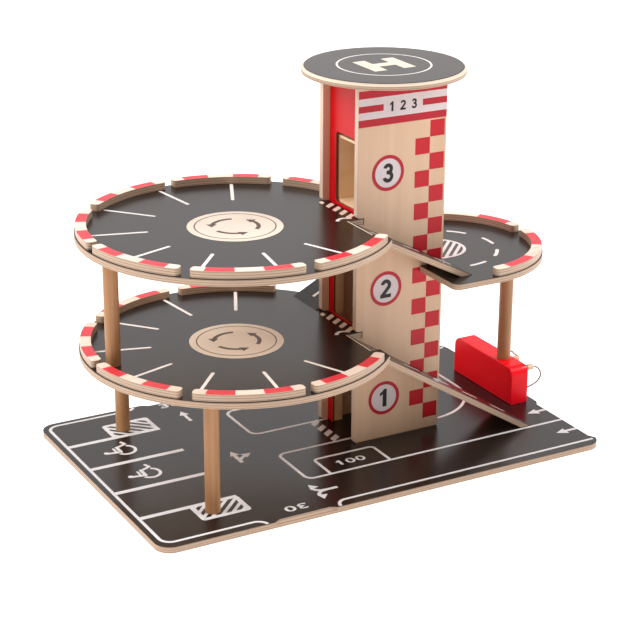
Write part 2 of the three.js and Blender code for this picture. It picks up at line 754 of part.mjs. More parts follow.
function addWinch() {
  const crankFace = towerBack + crankGap;
  const axleStart = shaftFront - axleSeat + fitGap;
  const axleLength = crankFace + crankThickness - axleStart;
  add("winch_axle", "beech", alongY(bar(axleRadius, axleLength)), axleX, axleStart, axleHeight);

  const length = drumLength + 2 * flangeThickness;
  const spool = turned([
    [0, 0],
    [flangeRadius, 0],
    [flangeRadius, flangeThickness],
    [drumRadius, flangeThickness],
    [drumRadius, flangeThickness + drumLength],
    [flangeRadius, flangeThickness + drumLength],
    [flangeRadius, length],
    [0, length],
  ]);
  const bore = (depth) => bar(axleRadius + fitGap, depth + 2 * overrun).translate(0, 0, -overrun);
  add("winch_drum", "paleWood", alongY(cut(spool, bore(length))), axleX, middleY - length / 2, axleHeight);

  // The crank hangs straight down at rest
  const arm = rounded([
    [-crankHub, crankHub, crankHub],
    [-crankHub, 0],
    [-crankEnd, -crankLength],
    [-crankEnd, -crankLength - crankEnd, crankEnd],
    [crankEnd, -crankLength - crankEnd, crankEnd],
    [crankEnd, -crankLength],
    [crankHub, 0],
    [crankHub, crankHub, crankHub],
  ]);
  const axleBore = alongY(bar(axleRadius + fitGap, crankThickness + 2 * overrun)).translate(0, -overrun, 0);
  const pegRadius = knobRadius / 2;
  const pegBore = alongY(bar(pegRadius + fitGap, knobSeat + fitGap + overrun));
  pegBore.translate(0, crankThickness - knobSeat - fitGap, -crankLength);
  const crank = cut(boardAlongY(arm, crankThickness), axleBore, pegBore);
  add("winch_crank", "beech", crank, axleX, crankFace, axleHeight);

  const knobEase = knobRadius / 3;
  const knob = turned([
    [0, -knobSeat],
    [pegRadius, -knobSeat],
    [pegRadius, knobNeck],
    [knobRadius - knobEase, knobNeck],
    [knobRadius, knobNeck + knobEase],
    [knobRadius, knobLength - knobEase],
    [knobRadius - knobEase, knobLength],
    [0, knobLength],
  ]);
  add("crank_knob", "redPaint", alongY(knob), axleX, crankFace + crankThickness, axleHeight - crankLength);
}

addBase();
addTower();
addDecks();
addCurbs();
addPosts();
addRamps();
addPump();
addLift();
addWinch();

export default part;
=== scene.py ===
"""The looks of a wooden toy parking garage: dark boards, painted road markings, curbs, lift and pump."""

import json
import math

import bmesh
import bpy
from mathutils import Matrix, Vector


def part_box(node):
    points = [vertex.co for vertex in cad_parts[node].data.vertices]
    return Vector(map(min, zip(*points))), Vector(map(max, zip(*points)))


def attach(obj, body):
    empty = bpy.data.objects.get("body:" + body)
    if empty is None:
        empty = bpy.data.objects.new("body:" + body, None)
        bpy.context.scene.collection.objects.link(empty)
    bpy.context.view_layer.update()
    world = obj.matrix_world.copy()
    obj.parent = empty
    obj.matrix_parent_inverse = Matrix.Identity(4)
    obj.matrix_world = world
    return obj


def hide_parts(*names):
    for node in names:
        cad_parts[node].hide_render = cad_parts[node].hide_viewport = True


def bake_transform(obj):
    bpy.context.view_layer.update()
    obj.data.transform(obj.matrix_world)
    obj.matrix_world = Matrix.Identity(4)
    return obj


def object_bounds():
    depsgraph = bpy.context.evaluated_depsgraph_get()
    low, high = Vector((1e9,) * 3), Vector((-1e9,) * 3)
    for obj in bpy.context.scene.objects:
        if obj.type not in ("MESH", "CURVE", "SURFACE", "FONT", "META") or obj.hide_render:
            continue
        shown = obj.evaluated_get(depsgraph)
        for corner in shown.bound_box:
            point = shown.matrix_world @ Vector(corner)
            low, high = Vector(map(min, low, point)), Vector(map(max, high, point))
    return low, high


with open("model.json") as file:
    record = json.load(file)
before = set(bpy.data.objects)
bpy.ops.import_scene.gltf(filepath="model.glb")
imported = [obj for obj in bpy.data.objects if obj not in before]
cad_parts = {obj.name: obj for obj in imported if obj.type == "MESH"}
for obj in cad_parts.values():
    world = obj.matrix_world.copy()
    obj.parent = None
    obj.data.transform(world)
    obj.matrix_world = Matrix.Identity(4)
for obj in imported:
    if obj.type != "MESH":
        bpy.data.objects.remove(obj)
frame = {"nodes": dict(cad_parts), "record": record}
cad_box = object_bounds()

# Plan millimetres: from the base board's front left corner, with z counted from the board's top
MM = 0.001
base_low, base_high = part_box("base_board")
PLAN = Matrix.Translation((base_low[0], base_low[1], base_high[2])) @ Matrix.Scale(MM, 4)


def plan_box(node):
    """The lowest and highest corner of a CAD node in plan millimetres."""
    low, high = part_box(node)
    back = PLAN.inverted()
    return back @ Vector(low), back @ Vector(high)


def place(x, y, z):
    """A plan point in the frame's metres."""
    return PLAN @ Vector((x, y, z))


# Main sizes, read from the frame
BASE_LENGTH, BASE_DEPTH = plan_box("base_board")[1].xy
MIDDLE = BASE_DEPTH / 2
DECK_X = MIDDLE  # a round deck is as wide as the base is deep
LOWER_TOP = plan_box("lower_deck")[1].z
UPPER_TOP = plan_box("upper_deck")[1].z
SIDE_TOP = plan_box("side_deck")[1].z
PAD_TOP = plan_box("helipad")[1].z
TOWER_LOW, TOWER_HIGH = plan_box("front_panel")
TOWER_LEFT, TOWER_FRONT = TOWER_LOW.xy
TOWER_RIGHT = TOWER_HIGH.x
TOWER_X = (TOWER_LEFT + TOWER_RIGHT) / 2
NOTCH_X = plan_box("upper_ramp")[0].x
RAMP_FRONT = plan_box("upper_ramp")[0].y
SIDE_LOW, SIDE_HIGH = plan_box("side_deck")
SIDE_X = SIDE_HIGH.x - (SIDE_HIGH.y - SIDE_LOW.y) / 2


def srgb(red, green, blue):
    """A colour as seen on a screen, from 0 to 255, as the light that it stands for."""
    shares = [value / 255 for value in (red, green, blue)]
    return tuple(s / 12.92 if s <= 0.04045 else ((s + 0.055) / 1.055) ** 2.4 for s in shares) + (1.0,)


# Colours
LAMINATE = srgb(24, 18, 18)
LAMINATE_WORN = srgb(37, 30, 29)
VENEER_LIGHT = srgb(232, 205, 172)
VENEER_DARK = srgb(205, 170, 132)
PANEL_LIGHT = srgb(220, 186, 156)
PANEL_DARK = srgb(204, 166, 134)
PLY_LIGHT = srgb(188, 162, 141)
PANEL_EDGE = srgb(240, 212, 192)
PLY_LINE = srgb(88, 62, 48)
RIM_PALE = srgb(250, 232, 210)
CURB_LIGHT = srgb(255, 238, 224)
CURB_DARK = srgb(240, 212, 192)
CURB_RED = srgb(232, 52, 68)
BEECH_LIGHT = srgb(182, 134, 88)
BEECH_DARK = srgb(150, 102, 62)
PINE_LIGHT = srgb(226, 186, 140)
PINE_DARK = srgb(196, 148, 102)
CABIN_LIGHT = srgb(252, 222, 182)
CABIN_DARK = srgb(236, 194, 146)
RED_PAINT = srgb(255, 12, 34)
RED_DEEP = srgb(244, 6, 26)
RED_WALL = srgb(214, 6, 20)
RED_WALL_DEEP = srgb(198, 4, 16)
BARE_FIBRE = srgb(120, 72, 50)
PRINT_RED = srgb(194, 16, 34)
PRINT_DEEP_RED = srgb(180, 18, 40)
BASE_WHITE = srgb(230, 230, 234)
PRINT_WHITE = srgb(248, 244, 242)
PRINT_GREY = srgb(214, 203, 205)
PRINT_BLACK = srgb(32, 28, 28)
PRINT_BROWN = srgb(92, 76, 66)
PRINT_CREAM = srgb(244, 229, 211)
CORD_GREY = srgb(150, 150, 148)
CORD_DARK = srgb(118, 118, 116)
NOZZLE_LIGHT = srgb(240, 204, 172)
NOZZLE_DARK = srgb(222, 180, 144)
ZINC_LIGHT = srgb(205, 205, 208)
ZINC_DARK = srgb(168, 168, 172)
FLOOR_PAPER = srgb(250, 250, 250)


class Value:
    """A number in a material's nodes. Python's operators on it add Math nodes."""

    def __init__(self, finish, socket):
        self.finish = finish
        self.socket = socket

    def math(self, operation, *others):
        return self.finish.node("ShaderNodeMath", {"operation": operation}, [self, *others])

    def __add__(self, other):
        return self.math("ADD", other)

    def __mul__(self, other):
        return self.math("MULTIPLY", other)

    def __sub__(self, other):
        return self.math("SUBTRACT", other)

    def __rsub__(self, other):
        return self * -1 + other

    def __truediv__(self, other):
        return self.math("DIVIDE", other)

    def __lt__(self, other):
        return self.math("LESS_THAN", other)

    def __gt__(self, other):
        return self.math("GREATER_THAN", other)

    def __abs__(self):
        return self.math("ABSOLUTE")

    def fraction(self):
        return self.math("FRACT")

    def most(self, other):
        return self.math("MAXIMUM", other)

    def between(self, low, high):
        return (self > low) * (self < high)


class Finish:
    """A material that is built node by node on Object coordinates, in metres."""

    def __init__(self, name):
        self.material = bpy.data.materials.new(name)
        self.material.use_nodes = True
        self.tree = self.material.node_tree
        self.shader = self.tree.nodes["Principled BSDF"]
        self.place = self.node("ShaderNodeTexCoord", output="Object")
        self.normal = self.node("ShaderNodeTexCoord", output="Normal")

    def node(self, kind, settings=None, inputs=(), output=0):
        """Adds a node: settings first, then the values or links of its sockets; gives one output."""
        node = self.tree.nodes.new(kind)
        for name, setting in (settings or {}).items():
            setattr(node, name, setting)
        pairs = inputs.items() if isinstance(inputs, dict) else enumerate(inputs)
        for key, value in pairs:
            self.feed(node.inputs[key], value)
        return Value(self, node.outputs[output])

    def feed(self, socket, value):
        if isinstance(value, Value):
            self.tree.links.new(value.socket, socket)
        else:
            socket.default_value = value

    def axes(self, vector):
        return [self.node("ShaderNodeSeparateXYZ", inputs=[vector], output=axis) for axis in range(3)]

    def stretched(self, scales):
        """The place on the piece, stretched by a factor along each axis."""
        return self.node("ShaderNodeVectorMath", {"operation": "MULTIPLY"}, [self.place, scales])

    def noise(self, vector, scale, detail=3.0, roughness=0.5, distortion=0.0):
        sizes = {"Scale": scale, "Detail": detail, "Roughness": roughness, "Distortion": distortion}
        return self.node("ShaderNodeTexNoise", inputs={"Vector": vector, **sizes}, output="Fac")

    def soft(self, value, low, high):
        """0 below low, 1 above high, and a smooth step between them."""
        sizes = {"Value": value, "From Min": low, "From Max": high}
        return self.node("ShaderNodeMapRange", {"interpolation_type": "SMOOTHSTEP"}, sizes)

    def mix(self, share, first, second):
        """The second colour where share is 1, the first where it is 0."""
        node = self.tree.nodes.new("ShaderNodeMix")
        node.data_type = "RGBA"
        self.feed(node.inputs[0], share)
        self.feed(node.inputs[6], first)
        self.feed(node.inputs[7], second)
        return Value(self, node.outputs[2])

    def bump(self, height, distance, strength=1.0):
        inputs = {"Height": height, "Distance": distance, "Strength": strength}
        self.feed(self.shader.inputs["Normal"], self.node("ShaderNodeBump", inputs=inputs))

    def done(self, colour, roughness):
        """Gives the finished material its colour and roughness."""
        self.feed(self.shader.inputs["Base Color"], colour)
        self.feed(self.shader.inputs["Roughness"], roughness)
        return self.material


# Wood grain: how many bands and fibres a metre holds across the grain, and what share of that along it
BAND = 46.0
FIBRE = 220.0
BAND_ALONG_SHARE = 0.05
FIBRE_ALONG_SHARE = 0.025


def grain(finish, along):
    """Wood grain along an axis (0, 1 or 2): its growth bands and its fine fibres, both from 0 to 1."""
    for_bands = [BAND_ALONG_SHARE if axis == along else 1.0 for axis in range(3)]
    for_fibres = [FIBRE_ALONG_SHARE if axis == along else 1.0 for axis in range(3)]
    bands = finish.noise(finish.stretched(for_bands), BAND, 2.0, 0.45, 0.6)
    fibres = finish.noise(finish.stretched(for_fibres), FIBRE, 3.0, 0.6)
    return bands, fibres


def wood(name, light, dark, along, roughness=0.5, figure=1.0):
    """Bare or lacquered wood with its grain along an axis; figure is how strong the grain shows."""
    finish = Finish(name)
    bands, fibres = grain(finish, along)
    band_share = finish.soft(bands, 0.38, 0.68) * (0.6 * figure)
    fibre_share = finish.soft(fibres, 0.35, 0.75) * (0.4 * figure)
    finish.bump(fibres, 0.06 * MM, 0.5)
    colour = finish.mix(band_share + fibre_share, light, dark)
    return finish.done(colour, fibres * 0.16 + (roughness - 0.08))


EDGE_LAYERS = 3


def layered(finish, depth):
    """A plywood board's edge: pale layers and thin darker lines. depth is 0 at its top, 1 at its foot."""
    wobble = finish.noise(finish.place, 60.0, 2.0) - 0.5
    within = (depth * EDGE_LAYERS + wobble * 0.16).fraction()
    lines = 1 - finish.soft(abs(within - 0.5), 0.08, 0.24)
    speckle = finish.noise(finish.place, 900.0, 2.0)
    shade = finish.noise(finish.stretched([1, 1, 6]), 90.0, 2.0)
    pale = finish.mix(finish.soft(shade, 0.3, 0.8) * 0.5, PLY_LIGHT, VENEER_DARK)
    return finish.mix(lines * (speckle * 0.4 + 0.3), pale, PLY_LINE)


def laminated(name, top, thickness, slope=0.0, foot=(0.0, 0.0), pale_rim=0.0):
    """A plywood board with a thin dark laminate on top.

    top and foot are in plan millimetres; slope is in radians, for a ramp whose top face runs through
    foot = (x, z). pale_rim is how pale a slanted rim is.
    """
    finish = Finish(name)
    x, _, z = finish.axes(finish.place)
    _, _, facing = finish.axes(finish.normal)
    if slope:
        start = place(foot[0], 0, foot[1])
        depth = ((x - start.x) * -math.sin(slope) - (z - start.z) * math.cos(slope)) / (thickness * MM)
    else:
        depth = (place(0, 0, top).z - z) / (thickness * MM)
    skin = 0.6 / thickness
    is_top = (facing > 0.8) * (depth < skin / 2)
    is_side = abs(facing) < 0.8
    is_skin = is_side * (depth < skin)
    cloud = finish.noise(finish.place, 14.0, 3.0)
    weave = finish.noise(finish.place, 1600.0, 2.0)
    dark = finish.mix(finish.soft(cloud, 0.3, 0.8) * 0.5 + weave * 0.25, LAMINATE, LAMINATE_WORN)
    bands, fibres = grain(finish, along=0)
    veneer = finish.mix(finish.soft(bands, 0.35, 0.7) * 0.7 + fibres * 0.3, VENEER_LIGHT, VENEER_DARK)
    edge = layered(finish, depth)
    edge = finish.mix(facing.between(0.3, 0.8) * pale_rim, edge, RIM_PALE)
    bare = finish.mix(is_side, veneer, edge)
    colour = finish.mix(is_top.most(is_skin), bare, dark)
    finish.bump(weave, 0.03 * MM, 0.35)
    return finish.done(colour, is_top * (cloud * 0.06 - 0.36) + 0.58)


def panelled(name, front, back):
    """A tower panel: veneer with upright grain on both faces, layers on its edges."""
    finish = Finish(name)
    _, y, _ = finish.axes(finish.place)
    _, facing, _ = finish.axes(finish.normal)
    bands, fibres = grain(finish, along=2)
    share = finish.soft(bands, 0.3, 0.75) * 0.45 + finish.soft(fibres, 0.3, 0.8) * 0.18
    face = finish.mix(share, PANEL_LIGHT, PANEL_DARK)
    depth = (y - place(0, front, 0).y) / ((back - front) * MM)
    layers = layered(finish, depth)
    edge = finish.mix(0.25, PANEL_EDGE, layers)
    is_edge = abs(facing) < 0.6
    finish.bump(fibres, 0.02 * MM, 0.25)
    return finish.done(finish.mix(is_edge, face, edge), fibres * 0.08 + 0.42)


def curbed(node, x_centre, middle, low, high):
    """Curb wood with red patches on top, from low to high degrees on both sides of the curb's middle."""
    finish = Finish(f"{node}_wood")
    x, y, z = finish.axes(finish.place)
    _, _, facing = finish.axes(finish.normal)
    under, top = plan_box(node)
    centre = place(x_centre, MIDDLE, top.z)
    ahead, aside = math.cos(math.radians(middle)), math.sin(math.radians(middle))
    out = (x - centre.x) * ahead + (y - centre.y) * aside
    across = (y - centre.y) * ahead - (x - centre.x) * aside
    angle = abs(across.math("ARCTAN2", out)) * (180 / math.pi)
    bands, fibres = grain(finish, along=0)
    veneer = finish.mix(finish.soft(bands, 0.36, 0.7) * 0.5 + fibres * 0.3, CURB_LIGHT, CURB_DARK)
    edge = layered(finish, (centre.z - z) / ((top.z - under.z) * MM))
    is_top = facing > 0.75
    bare = finish.mix(is_top, edge, veneer)
    finish.bump(fibres * is_top, 0.04 * MM, 0.4)
    colour = finish.mix(angle.between(low, high) * is_top, bare, CURB_RED)
    return finish.done(colour, fibres * 0.1 + 0.34)


PAINT_GLOSS = 0.18
PRINT_GLOSS = 0.3
PRINT_WEAR_SHARE = 0.92  # how bright worn print is beside fresh print


def painted(name, colour, deep, roughness=0.3, bare_edges=False):
    """Paint on wood: a glossy coat with the grain faintly under it. The edges of a board whose faces
    look along X can be bare."""
    finish = Finish(name)
    bands, fibres = grain(finish, along=2)
    cloud = finish.noise(finish.place, 24.0, 2.0)
    finish.bump(fibres * 0.6 + bands * 0.4, 0.08 * MM, 0.35)
    paint = finish.mix(finish.soft(cloud, 0.3, 0.8) * 0.4, colour, deep)
    if bare_edges:
        facing = finish.axes(finish.normal)[0]
        paint = finish.mix(abs(facing) < 0.6, paint, BARE_FIBRE)
    finish.shader.inputs["Specular IOR Level"].default_value = PAINT_GLOSS
    return finish.done(paint, cloud * 0.1 + roughness - 0.05)


def printed(name, colour, roughness=0.42):
    """Screen print: an even ink with a very fine tooth."""
    finish = Finish(name)
    tooth = finish.noise(finish.place, 1200.0, 2.0)
    cloud = finish.noise(finish.place, 30.0, 2.0)
    worn = tuple(channel * PRINT_WEAR_SHARE for channel in colour[:3]) + (1.0,)
    wear = finish.soft(cloud, 0.35, 0.8) * 0.6 + tooth * 0.15
    finish.bump(tooth, 0.02 * MM, 0.3)
    finish.shader.inputs["Specular IOR Level"].default_value = PRINT_GLOSS
    return finish.done(finish.mix(wear, colour, worn), roughness)


BRAID = 900.0


def braided(name):
    """A thin grey cord: crossing strands."""
    finish = Finish(name)
    x, y, z = finish.axes(finish.place)
    one_way = ((x + z) * BRAID).math("SINE")
    other_way = ((z - x + y) * BRAID).math("SINE")
    strands = one_way * other_way * 0.5 + 0.5
    finish.bump(strands, 0.1 * MM, 0.6)
    return finish.done(finish.mix(strands, CORD_DARK, CORD_GREY), 0.85)


def zinc(name):
    """Spotted zinc plating."""
    finish = Finish(name)
    spots = finish.noise(finish.place, 700.0, 3.0)
    finish.shader.inputs["Metallic"].default_value = 1.0
    return finish.done(finish.mix(spots, ZINC_LIGHT, ZINC_DARK), spots * 0.2 + 0.25)


# The photograph's camera
CAMERA_SPOT = (-735.945, -1681.124, 971.987)  # plan millimetres
CAMERA_AZIMUTH = math.radians(29.023)
CAMERA_ELEVATION = math.radians(20.922)
CAMERA_ROLL = math.radians(0.289)
FILM_WIDTH = 36.0
FOCAL_LENGTH = 103.87
FILM_SHIFT = (0.00404, 0.0020)


def add_camera():
    """Looks at the garage from where the photograph was taken."""
    camera = bpy.data.cameras.new("camera")
    camera.sensor_width = FILM_WIDTH
    camera.lens = FOCAL_LENGTH
    camera.shift_x, camera.shift_y = FILM_SHIFT
    camera.clip_start, camera.clip_end = 0.05, 50.0
    facing = Matrix.Rotation(-CAMERA_AZIMUTH, 4, "Z")
    tilt = Matrix.Rotation(math.pi / 2 - CAMERA_ELEVATION, 4, "X")
    roll = Matrix.Rotation(CAMERA_ROLL, 4, "Z")
    view = bpy.data.objects.new("camera", camera)
    view.matrix_world = Matrix.Translation(place(*CAMERA_SPOT)) @ (facing @ tilt) @ roll
    bpy.context.collection.objects.link(view)
    bpy.context.scene.camera = view


# Light, in metres and watts
LAMP_TINT = (1.0, 0.965, 0.95)
LAMP_TARGET = Vector((0.0, 0.0, 0.2))
LAMPS = {
    "left_softbox": ((-2.3, 0.3, 2.0), 1.8, 51.0),
    "window_softbox": ((-1.0, 1.9, 2.2), 1.4, 26.0),
    "back_softbox": ((1.45, 2.6, 1.9), 3.0, 11.0),
    "right_softbox": ((2.5, -0.8, 2.0), 1.8, 70.0),
    "front_softbox": ((0.6, -2.4, 2.9), 1.4, 4.0),
}
ROOM_LIGHT = 0.46
FLOOR_GLOW = 0.5
FLOOR_REACH = 30.0  # from the garage to the floor's edges


def add_lamp(name, spot, size, watts):
    """A round soft lamp, in metres, that points at the garage."""
    light = bpy.data.lights.new(name, "AREA")
    light.shape, light.size, light.energy, light.color = "DISK", size, watts, LAMP_TINT
    lamp = bpy.data.objects.new(name, light)
    lamp.location = spot
    lamp.rotation_euler = (LAMP_TARGET - Vector(spot)).to_track_quat("-Z", "Y").to_euler()
    bpy.context.collection.objects.link(lamp)


def add_studio():
    """A pale floor, an even white surrounding and soft lamps."""
    bm = bmesh.new()
    bmesh.ops.create_grid(bm, x_segments=1, y_segments=1, size=FLOOR_REACH)
    bmesh.ops.translate(bm, verts=bm.verts, vec=(0, 0, cad_box[0][2]))
    floor = bpy.data.objects.new("floor", bpy.data.meshes.new("floor"))
    bm.to_mesh(floor.data)
    bm.free()
    finish = Finish("floor_paper")
    finish.shader.inputs["Emission Color"].default_value = (1.0, 1.0, 1.0, 1.0)
    finish.shader.inputs["Emission Strength"].default_value = FLOOR_GLOW
    floor.data.materials.append(finish.done(FLOOR_PAPER, 0.9))
    bpy.context.collection.objects.link(floor)

    world = bpy.data.worlds.new("studio")
    world.use_nodes = True
    room = world.node_tree.nodes["Background"].inputs
    room["Color"].default_value = (*LAMP_TINT, 1.0)
    room["Strength"].default_value = ROOM_LIGHT
    bpy.context.scene.world = world
    for name, (spot, size, watts) in LAMPS.items():
        add_lamp(name, spot, size, watts)
    bpy.context.scene.view_settings.view_transform = "Standard"


def piece(bm, name, material, body="garage"):
    """Makes a mesh object of a bmesh that is already in the frame's metres."""
    mesh = bpy.data.meshes.new(name)
    bm.to_mesh(mesh)
    bm.free()
    mesh.materials.append(material)
    made = bpy.data.objects.new(name, mesh)
    bpy.context.collection.objects.link(made)
    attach(made, body)
    return made


def body_of(node):
    """The body that holds a CAD node."""
    bodies = frame["record"]["behaviour"]["bodies"]
    return next(body for body, nodes in bodies.items() if node in nodes)


SHARP = math.radians(30)  # from this turn on, the edge between two faces is eased
CREASE = math.radians(45)  # and from this one, it isn't shaded as a smooth one
FLAT = math.radians(0.3)
WELD = 0.002 * MM

EXIT_WIDTH = 5.5  # from the board's edge to the upper rim of each slanted way out
EXIT_ENDS = 9.0  # how far the ends of a way out slant along the edge
EXIT_X = 184.5  # middle of the ways out in the front and back edges
EXIT_Y = 80.0  # middle of the way out in the right edge
EXIT_REACH = 70.0  # more than half the length of any of them


def slant_exits(bm):
    """Draws in the upper rim's ends of each way out, so that they run slanted to the board's edge."""
    back = PLAN.inverted()
    for vert in bm.verts:
        spot = back @ vert.co
        inside = min(spot.y, BASE_DEPTH - spot.y) - EXIT_WIDTH, BASE_LENGTH - spot.x - EXIT_WIDTH
        to_middle = EXIT_X - spot.x, EXIT_Y - spot.y
        for axis in range(2):
            at_rim = abs(inside[axis]) < 0.1 and abs(spot.z) < 0.1
            if at_rim and abs(to_middle[axis]) < EXIT_REACH:
                vert.co[axis] += math.copysign(EXIT_ENDS * MM, to_middle[axis])


def dressed(node, material, edge=0.5, shape=None):
    """Stands for a CAD node: the same solid with its edges eased by edge millimetres."""
    bm = bmesh.new()
    bm.from_mesh(frame["nodes"][node].data)
    bmesh.ops.remove_doubles(bm, verts=bm.verts, dist=WELD)
    bmesh.ops.dissolve_limit(bm, angle_limit=FLAT, verts=bm.verts, edges=bm.edges)
    if shape:
        shape(bm)
    rims = [e for e in bm.edges if e.calc_face_angle(0) > SHARP]
    bmesh.ops.bevel(
        bm, geom=rims, offset=edge * MM, offset_type="OFFSET", affect="EDGES", segments=2, profile=0.5,
        material=-1, clamp_overlap=True,
    )
    for face in bm.faces:
        face.smooth = True
    for side in bm.edges:
        side.smooth = side.calc_face_angle(0) < CREASE
    made = piece(bm, f"{node}_dressed", material, body_of(node))
    shading = made.modifiers.new("even_shading", "WEIGHTED_NORMAL")
    shading.keep_sharp = True
    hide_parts(node)


# Prints, in millimetres
INK = 0.06  # thickness of a print
LIFT = 0.03  # from the surface to the print's underside
SHAPE_STEP = 0.004  # from one shape of a print to the next, so that two never lie in one plane
SHAPE_LEVELS = 6
SHAPE_WELD = 0.0005
FULL_TURN = 359.9  # degrees of a ring, just short of meeting itself
DIGIT_WEIGHT = 0.02
DIGIT_SPACING = 1.08
CAP_STEPS = 20


def round_point(x, y, radius, degrees):
    """The point at some degrees on a circle round (x, y)."""
    turn = math.radians(degrees)
    return x + radius * math.cos(turn), y + radius * math.sin(turn)


class Ink:
    """Flat shapes of one colour on one surface, drawn in millimetres and gathered in one mesh."""

    def __init__(self):
        self.bm = bmesh.new()
        self.shapes = 0

    def settle(self, known):
        """Gives the newest shape a height of its own."""
        self.shapes += 1
        fresh = [v for v in self.bm.verts if v not in known]
        bmesh.ops.translate(self.bm, verts=fresh, vec=(0, 0, self.shapes % SHAPE_LEVELS * SHAPE_STEP))

    def polygon(self, corners, radius=0):
        """A shape with straight sides, whose corners can be rounded."""
        known = set(self.bm.verts)
        verts = [self.bm.verts.new((x, y, 0)) for x, y in corners]
        self.bm.faces.new(verts)
        if radius:
            bmesh.ops.bevel(
                self.bm, geom=verts, offset=radius, affect="VERTICES", segments=6, profile=0.5,
                material=-1,
            )
        self.settle(known)

    def rectangle(self, left, bottom, right, top):
        self.polygon([(left, bottom), (right, bottom), (right, top), (left, top)])

    def disc(self, x, y, radius, steps=96):
        known = set(self.bm.verts)
        spot = Matrix.Translation((x, y, 0))
        bmesh.ops.create_circle(self.bm, cap_ends=True, radius=radius, segments=steps, matrix=spot)
        self.settle(known)

    def line(self, x0, y0, x1, y1, width, capped=False):
        """A straight line from (x0, y0) to (x1, y1), with round ends when capped."""
        along = Vector((x1 - x0, y1 - y0)).normalized()
        side = Vector((-along.y, along.x)) * width / 2
        start, end = Vector((x0, y0)), Vector((x1, y1))
        self.polygon([start + side, start - side, end - side, end + side])
        if capped:
            self.disc(x0, y0, width / 2, CAP_STEPS)
            self.disc(x1, y1, width / 2, CAP_STEPS)

    def trail(self, x, y, heading, moves, width):
        """A band that starts at (x, y): each move is a length ahead, or a bend as (radius, degrees)."""
        known = set(self.bm.verts)
        spot = Vector((x, y, 0))
        course = math.radians(heading)
        side = Vector((-math.sin(course), math.cos(course), 0)) * width / 2
        verts = [self.bm.verts.new(spot + side), self.bm.verts.new(spot - side)]
        last = [*verts, self.bm.edges.new(verts)]
        for move in moves:
            ahead = Vector((math.cos(course), math.sin(course), 0))
            if isinstance(move, tuple):
                radius, degrees = move
                left = Vector((-ahead.y, ahead.x, 0)) * math.copysign(radius, degrees)
                turn = math.radians(degrees)
                steps = max(2, round(abs(degrees) / 6))
                bent = bmesh.ops.spin(
                    self.bm, geom=last, cent=spot + left, axis=(0, 0, 1), angle=turn, steps=steps
                )
                last = bent["geom_last"]
                spot = spot + left + Matrix.Rotation(turn, 3, "Z") @ -left
                course += turn
            else:
                pushed = bmesh.ops.extrude_edge_only(
                    self.bm, edges=[part for part in last if isinstance(part, bmesh.types.BMEdge)]
                )
                ends = [part for part in pushed["geom"] if isinstance(part, bmesh.types.BMVert)]
                bmesh.ops.translate(self.bm, verts=ends, vec=ahead * move)
                last = [*ends, self.bm.edges.get(ends)]
                spot = spot + ahead * move
        self.settle(known)

    def arc(self, x, y, radius, start, end, width, capped=False):
        """A band round (x, y), from start to end in degrees, with round ends when capped."""
        first, last = (round_point(x, y, radius, degrees) for degrees in (start, end))
        self.trail(*first, start + math.copysign(90, end - start), [(radius, end - start)], width)
        if capped:
            self.disc(*first, width / 2, CAP_STEPS)
            self.disc(*last, width / 2, CAP_STEPS)

    def head(self, x, y, heading, length, half_width):
        """An arrow's head with its tip at (x, y)."""
        ahead = Vector((math.cos(math.radians(heading)), math.sin(math.radians(heading))))
        side = Vector((-ahead.y, ahead.x)) * half_width
        tip = Vector((x, y))
        foot = tip - ahead * length
        self.polygon([tip, foot + side, foot - side])

    def hatch(self, outline, heading, pitch, width, shift=0.0):
        """Fills an outline, which runs anticlockwise, with slanted stripes."""
        stripes = bmesh.new()
        course = math.radians(heading)
        ahead = Vector((math.cos(course), math.sin(course), 0))
        side = Vector((-ahead.y, ahead.x, 0))
        points = [Vector((x, y, 0)) for x, y in outline]
        reach = max((a - b).length for a in points for b in points)
        middle = sum(points, Vector()) / len(points)
        count = math.ceil(reach / 2 / pitch)
        half = width / 2
        corners = [(-reach, -half), (reach, -half), (reach, half), (-reach, half)]
        for i in range(-count, count + 1):
            line = middle + side * (pitch * i + shift)
            stripes.faces.new([stripes.verts.new(line + ahead * a + side * b) for a, b in corners])
        for a, b in zip(points, [*points[1:], points[0]]):
            geometry = [*stripes.verts, *stripes.edges, *stripes.faces]
            away = (b - a).cross(Vector((0, 0, 1)))
            bmesh.ops.bisect_plane(stripes, geom=geometry, plane_co=a, plane_no=away, clear_outer=True)
        known = set(self.bm.verts)
        flat = bpy.data.meshes.new("stripes")
        stripes.to_mesh(flat)
        stripes.free()
        self.bm.from_mesh(flat)
        bpy.data.meshes.remove(flat)
        self.settle(known)

    def one(self, x, y, height, stretch=1.0):
        """The figure 1, centred on (x, y): a plain upright bar with a short flag."""
        corners = [
            (0.17, -0.5), (0.17, 0.5), (0.0, 0.5), (-0.1, 0.38), (-0.25, 0.29), (-0.25, 0.13),
            (-0.07, 0.21), (-0.07, -0.5),
        ]
        self.polygon([(x + across * height * stretch, y + up * height) for across, up in corners])

    def two(self, x, y, height):
        """The figure 2, centred on (x, y): a bowl, a slanted stroke and a foot."""
        stroke = height * 0.2
        foot = y - height * 0.4
        self.arc(x, y + height * 0.19, height * 0.21, 172, -42, stroke)
        self.line(x + height * 0.156, y + height * 0.05, x - height * 0.24, foot, stroke)
        self.line(x - height * 0.33, foot, x + height * 0.31, foot, stroke)

    def three(self, x, y, height):
        """The figure 3, centred on (x, y): two open bowls, the lower one wider."""
        stroke = height * 0.2
        self.arc(x, y + height * 0.215, height * 0.185, 168, -90, stroke)
        self.arc(x, y - height * 0.185, height * 0.215, 90, -168, stroke)
        self.line(x - height * 0.09, y + height * 0.03, x, y + height * 0.03, stroke)

